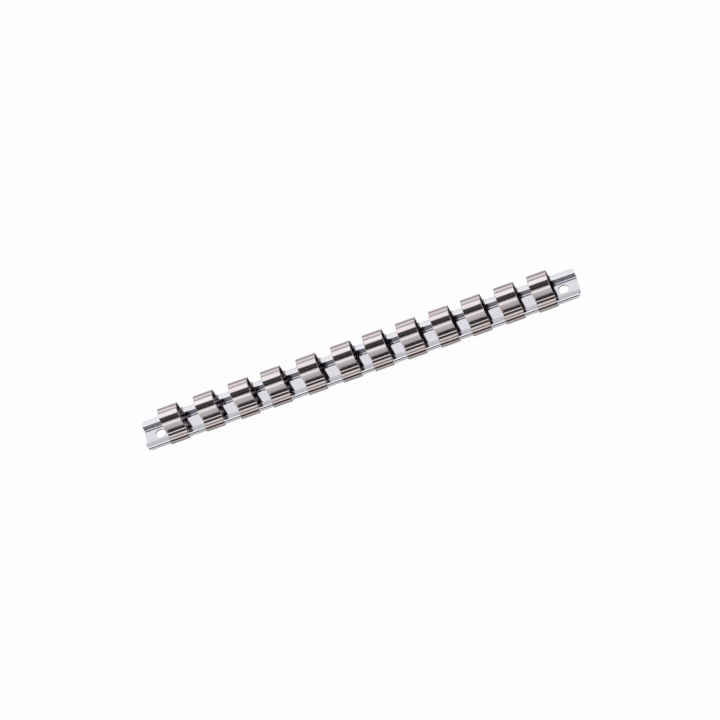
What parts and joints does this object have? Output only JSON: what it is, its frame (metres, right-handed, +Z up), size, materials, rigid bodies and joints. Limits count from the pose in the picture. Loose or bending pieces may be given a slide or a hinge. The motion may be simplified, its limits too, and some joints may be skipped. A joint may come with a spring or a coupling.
{
  "type": "socket rail",
  "caption": "Steel channel rail with sliding sprung loop clips, each of which grips one square-drive socket; holes near both ends for hanging or screwing down.",
  "frame": {"origin": "middle of the rail's length and width, on the underside of its web", "axes": "+X along the rail, +Y across it, +Z up out of the web, the way the sockets are pushed on"},
  "size_m": [0.28, 0.0224, 0.0221],
  "materials": {
    "chrome_rail": "bright chrome plate",
    "spring_steel": "bright spring strip with fine rolling lines"
  },
  "bodies": {
    "rail": {"rail": "chrome_rail"},
    "clip_01": {"clip_01": "spring_steel"},
    "clip_02": {"clip_02": "spring_steel"},
    "clip_03": {"clip_03": "spring_steel"},
    "clip_04": {"clip_04": "spring_steel"},
    "clip_05": {"clip_05": "spring_steel"},
    "clip_06": {"clip_06": "spring_steel"},
    "clip_07": {"clip_07": "spring_steel"},
    "clip_08": {"clip_08": "spring_steel"},
    "clip_09": {"clip_09": "spring_steel"},
    "clip_10": {"clip_10": "spring_steel"},
    "clip_11": {"clip_11": "spring_steel"},
    "clip_12": {"clip_12": "spring_steel"}
  },
  "joints": [
    {"name": "clip_01_slide", "type": "slide", "parent": "rail", "child": "clip_01", "axis": [1, 0, 0], "range_m": [-0.0149, 0.00545]},
    {"name": "clip_02_slide", "type": "slide", "parent": "rail", "child": "clip_02", "axis": [1, 0, 0], "range_m": [-0.00545, 0.00517]},
    {"name": "clip_03_slide", "type": "slide", "parent": "rail", "child": "clip_03", "axis": [1, 0, 0], "range_m": [-0.00517, 0.00433]},
    {"name": "clip_04_slide", "type": "slide", "parent": "rail", "child": "clip_04", "axis": [1, 0, 0], "range_m": [-0.00433, 0.00531]},
    {"name": "clip_05_slide", "type": "slide", "parent": "rail", "child": "clip_05", "axis": [1, 0, 0], "range_m": [-0.00531, 0.00502]},
    {"name": "clip_06_slide", "type": "slide", "parent": "rail", "child": "clip_06", "axis": [1, 0, 0], "range_m": [-0.00502, 0.00405]},
    {"name": "clip_07_slide", "type": "slide", "parent": "rail", "child": "clip_07", "axis": [1, 0, 0], "range_m": [-0.00405, 0.00446]},
    {"name": "clip_08_slide", "type": "slide", "parent": "rail", "child": "clip_08", "axis": [1, 0, 0], "range_m": [-0.00446, 0.00446]},
    {"name": "clip_09_slide", "type": "slide", "parent": "rail", "child": "clip_09", "axis": [1, 0, 0], "range_m": [-0.00446, 0.00405]},
    {"name": "clip_10_slide", "type": "slide", "parent": "rail", "child": "clip_10", "axis": [1, 0, 0], "range_m": [-0.00405, 0.00447]},
    {"name": "clip_11_slide", "type": "slide", "parent": "rail", "child": "clip_11", "axis": [1, 0, 0], "range_m": [-0.00447, 0.00433]},
    {"name": "clip_12_slide", "type": "slide", "parent": "rail", "child": "clip_12", "axis": [1, 0, 0], "range_m": [-0.00433, 0.0149]}
  ]
}
